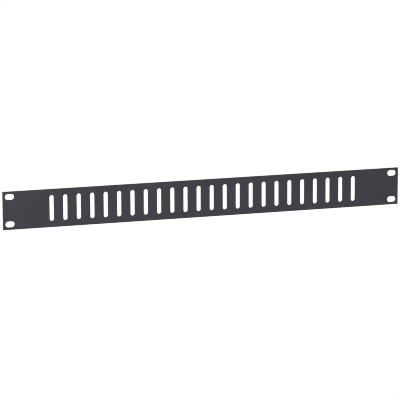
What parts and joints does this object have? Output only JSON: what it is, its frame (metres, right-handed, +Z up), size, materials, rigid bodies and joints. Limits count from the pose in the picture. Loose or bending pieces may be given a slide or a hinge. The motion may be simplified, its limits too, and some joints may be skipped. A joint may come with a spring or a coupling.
{
  "type": "rack blanking panel",
  "caption": "Flat blanking panel for an equipment rack, with a row of upright vent slots and a lying screw slot near each corner.",
  "frame": {"origin": "centre of the rear face, midway between the four mounting slots, in the plane that seats on the rack's rails", "axes": "+X along the panel, to the right as seen from the front; +Y out of the rear face, into the rack; +Z up, across the panel's height"},
  "size_m": [0.4826, 0.0016, 0.0444],
  "materials": {
    "powder_coat": "fine matte powder coat, charcoal grey"
  },
  "bodies": {
    "root": {"panel": "powder_coat"}
  },
  "joints": []
}
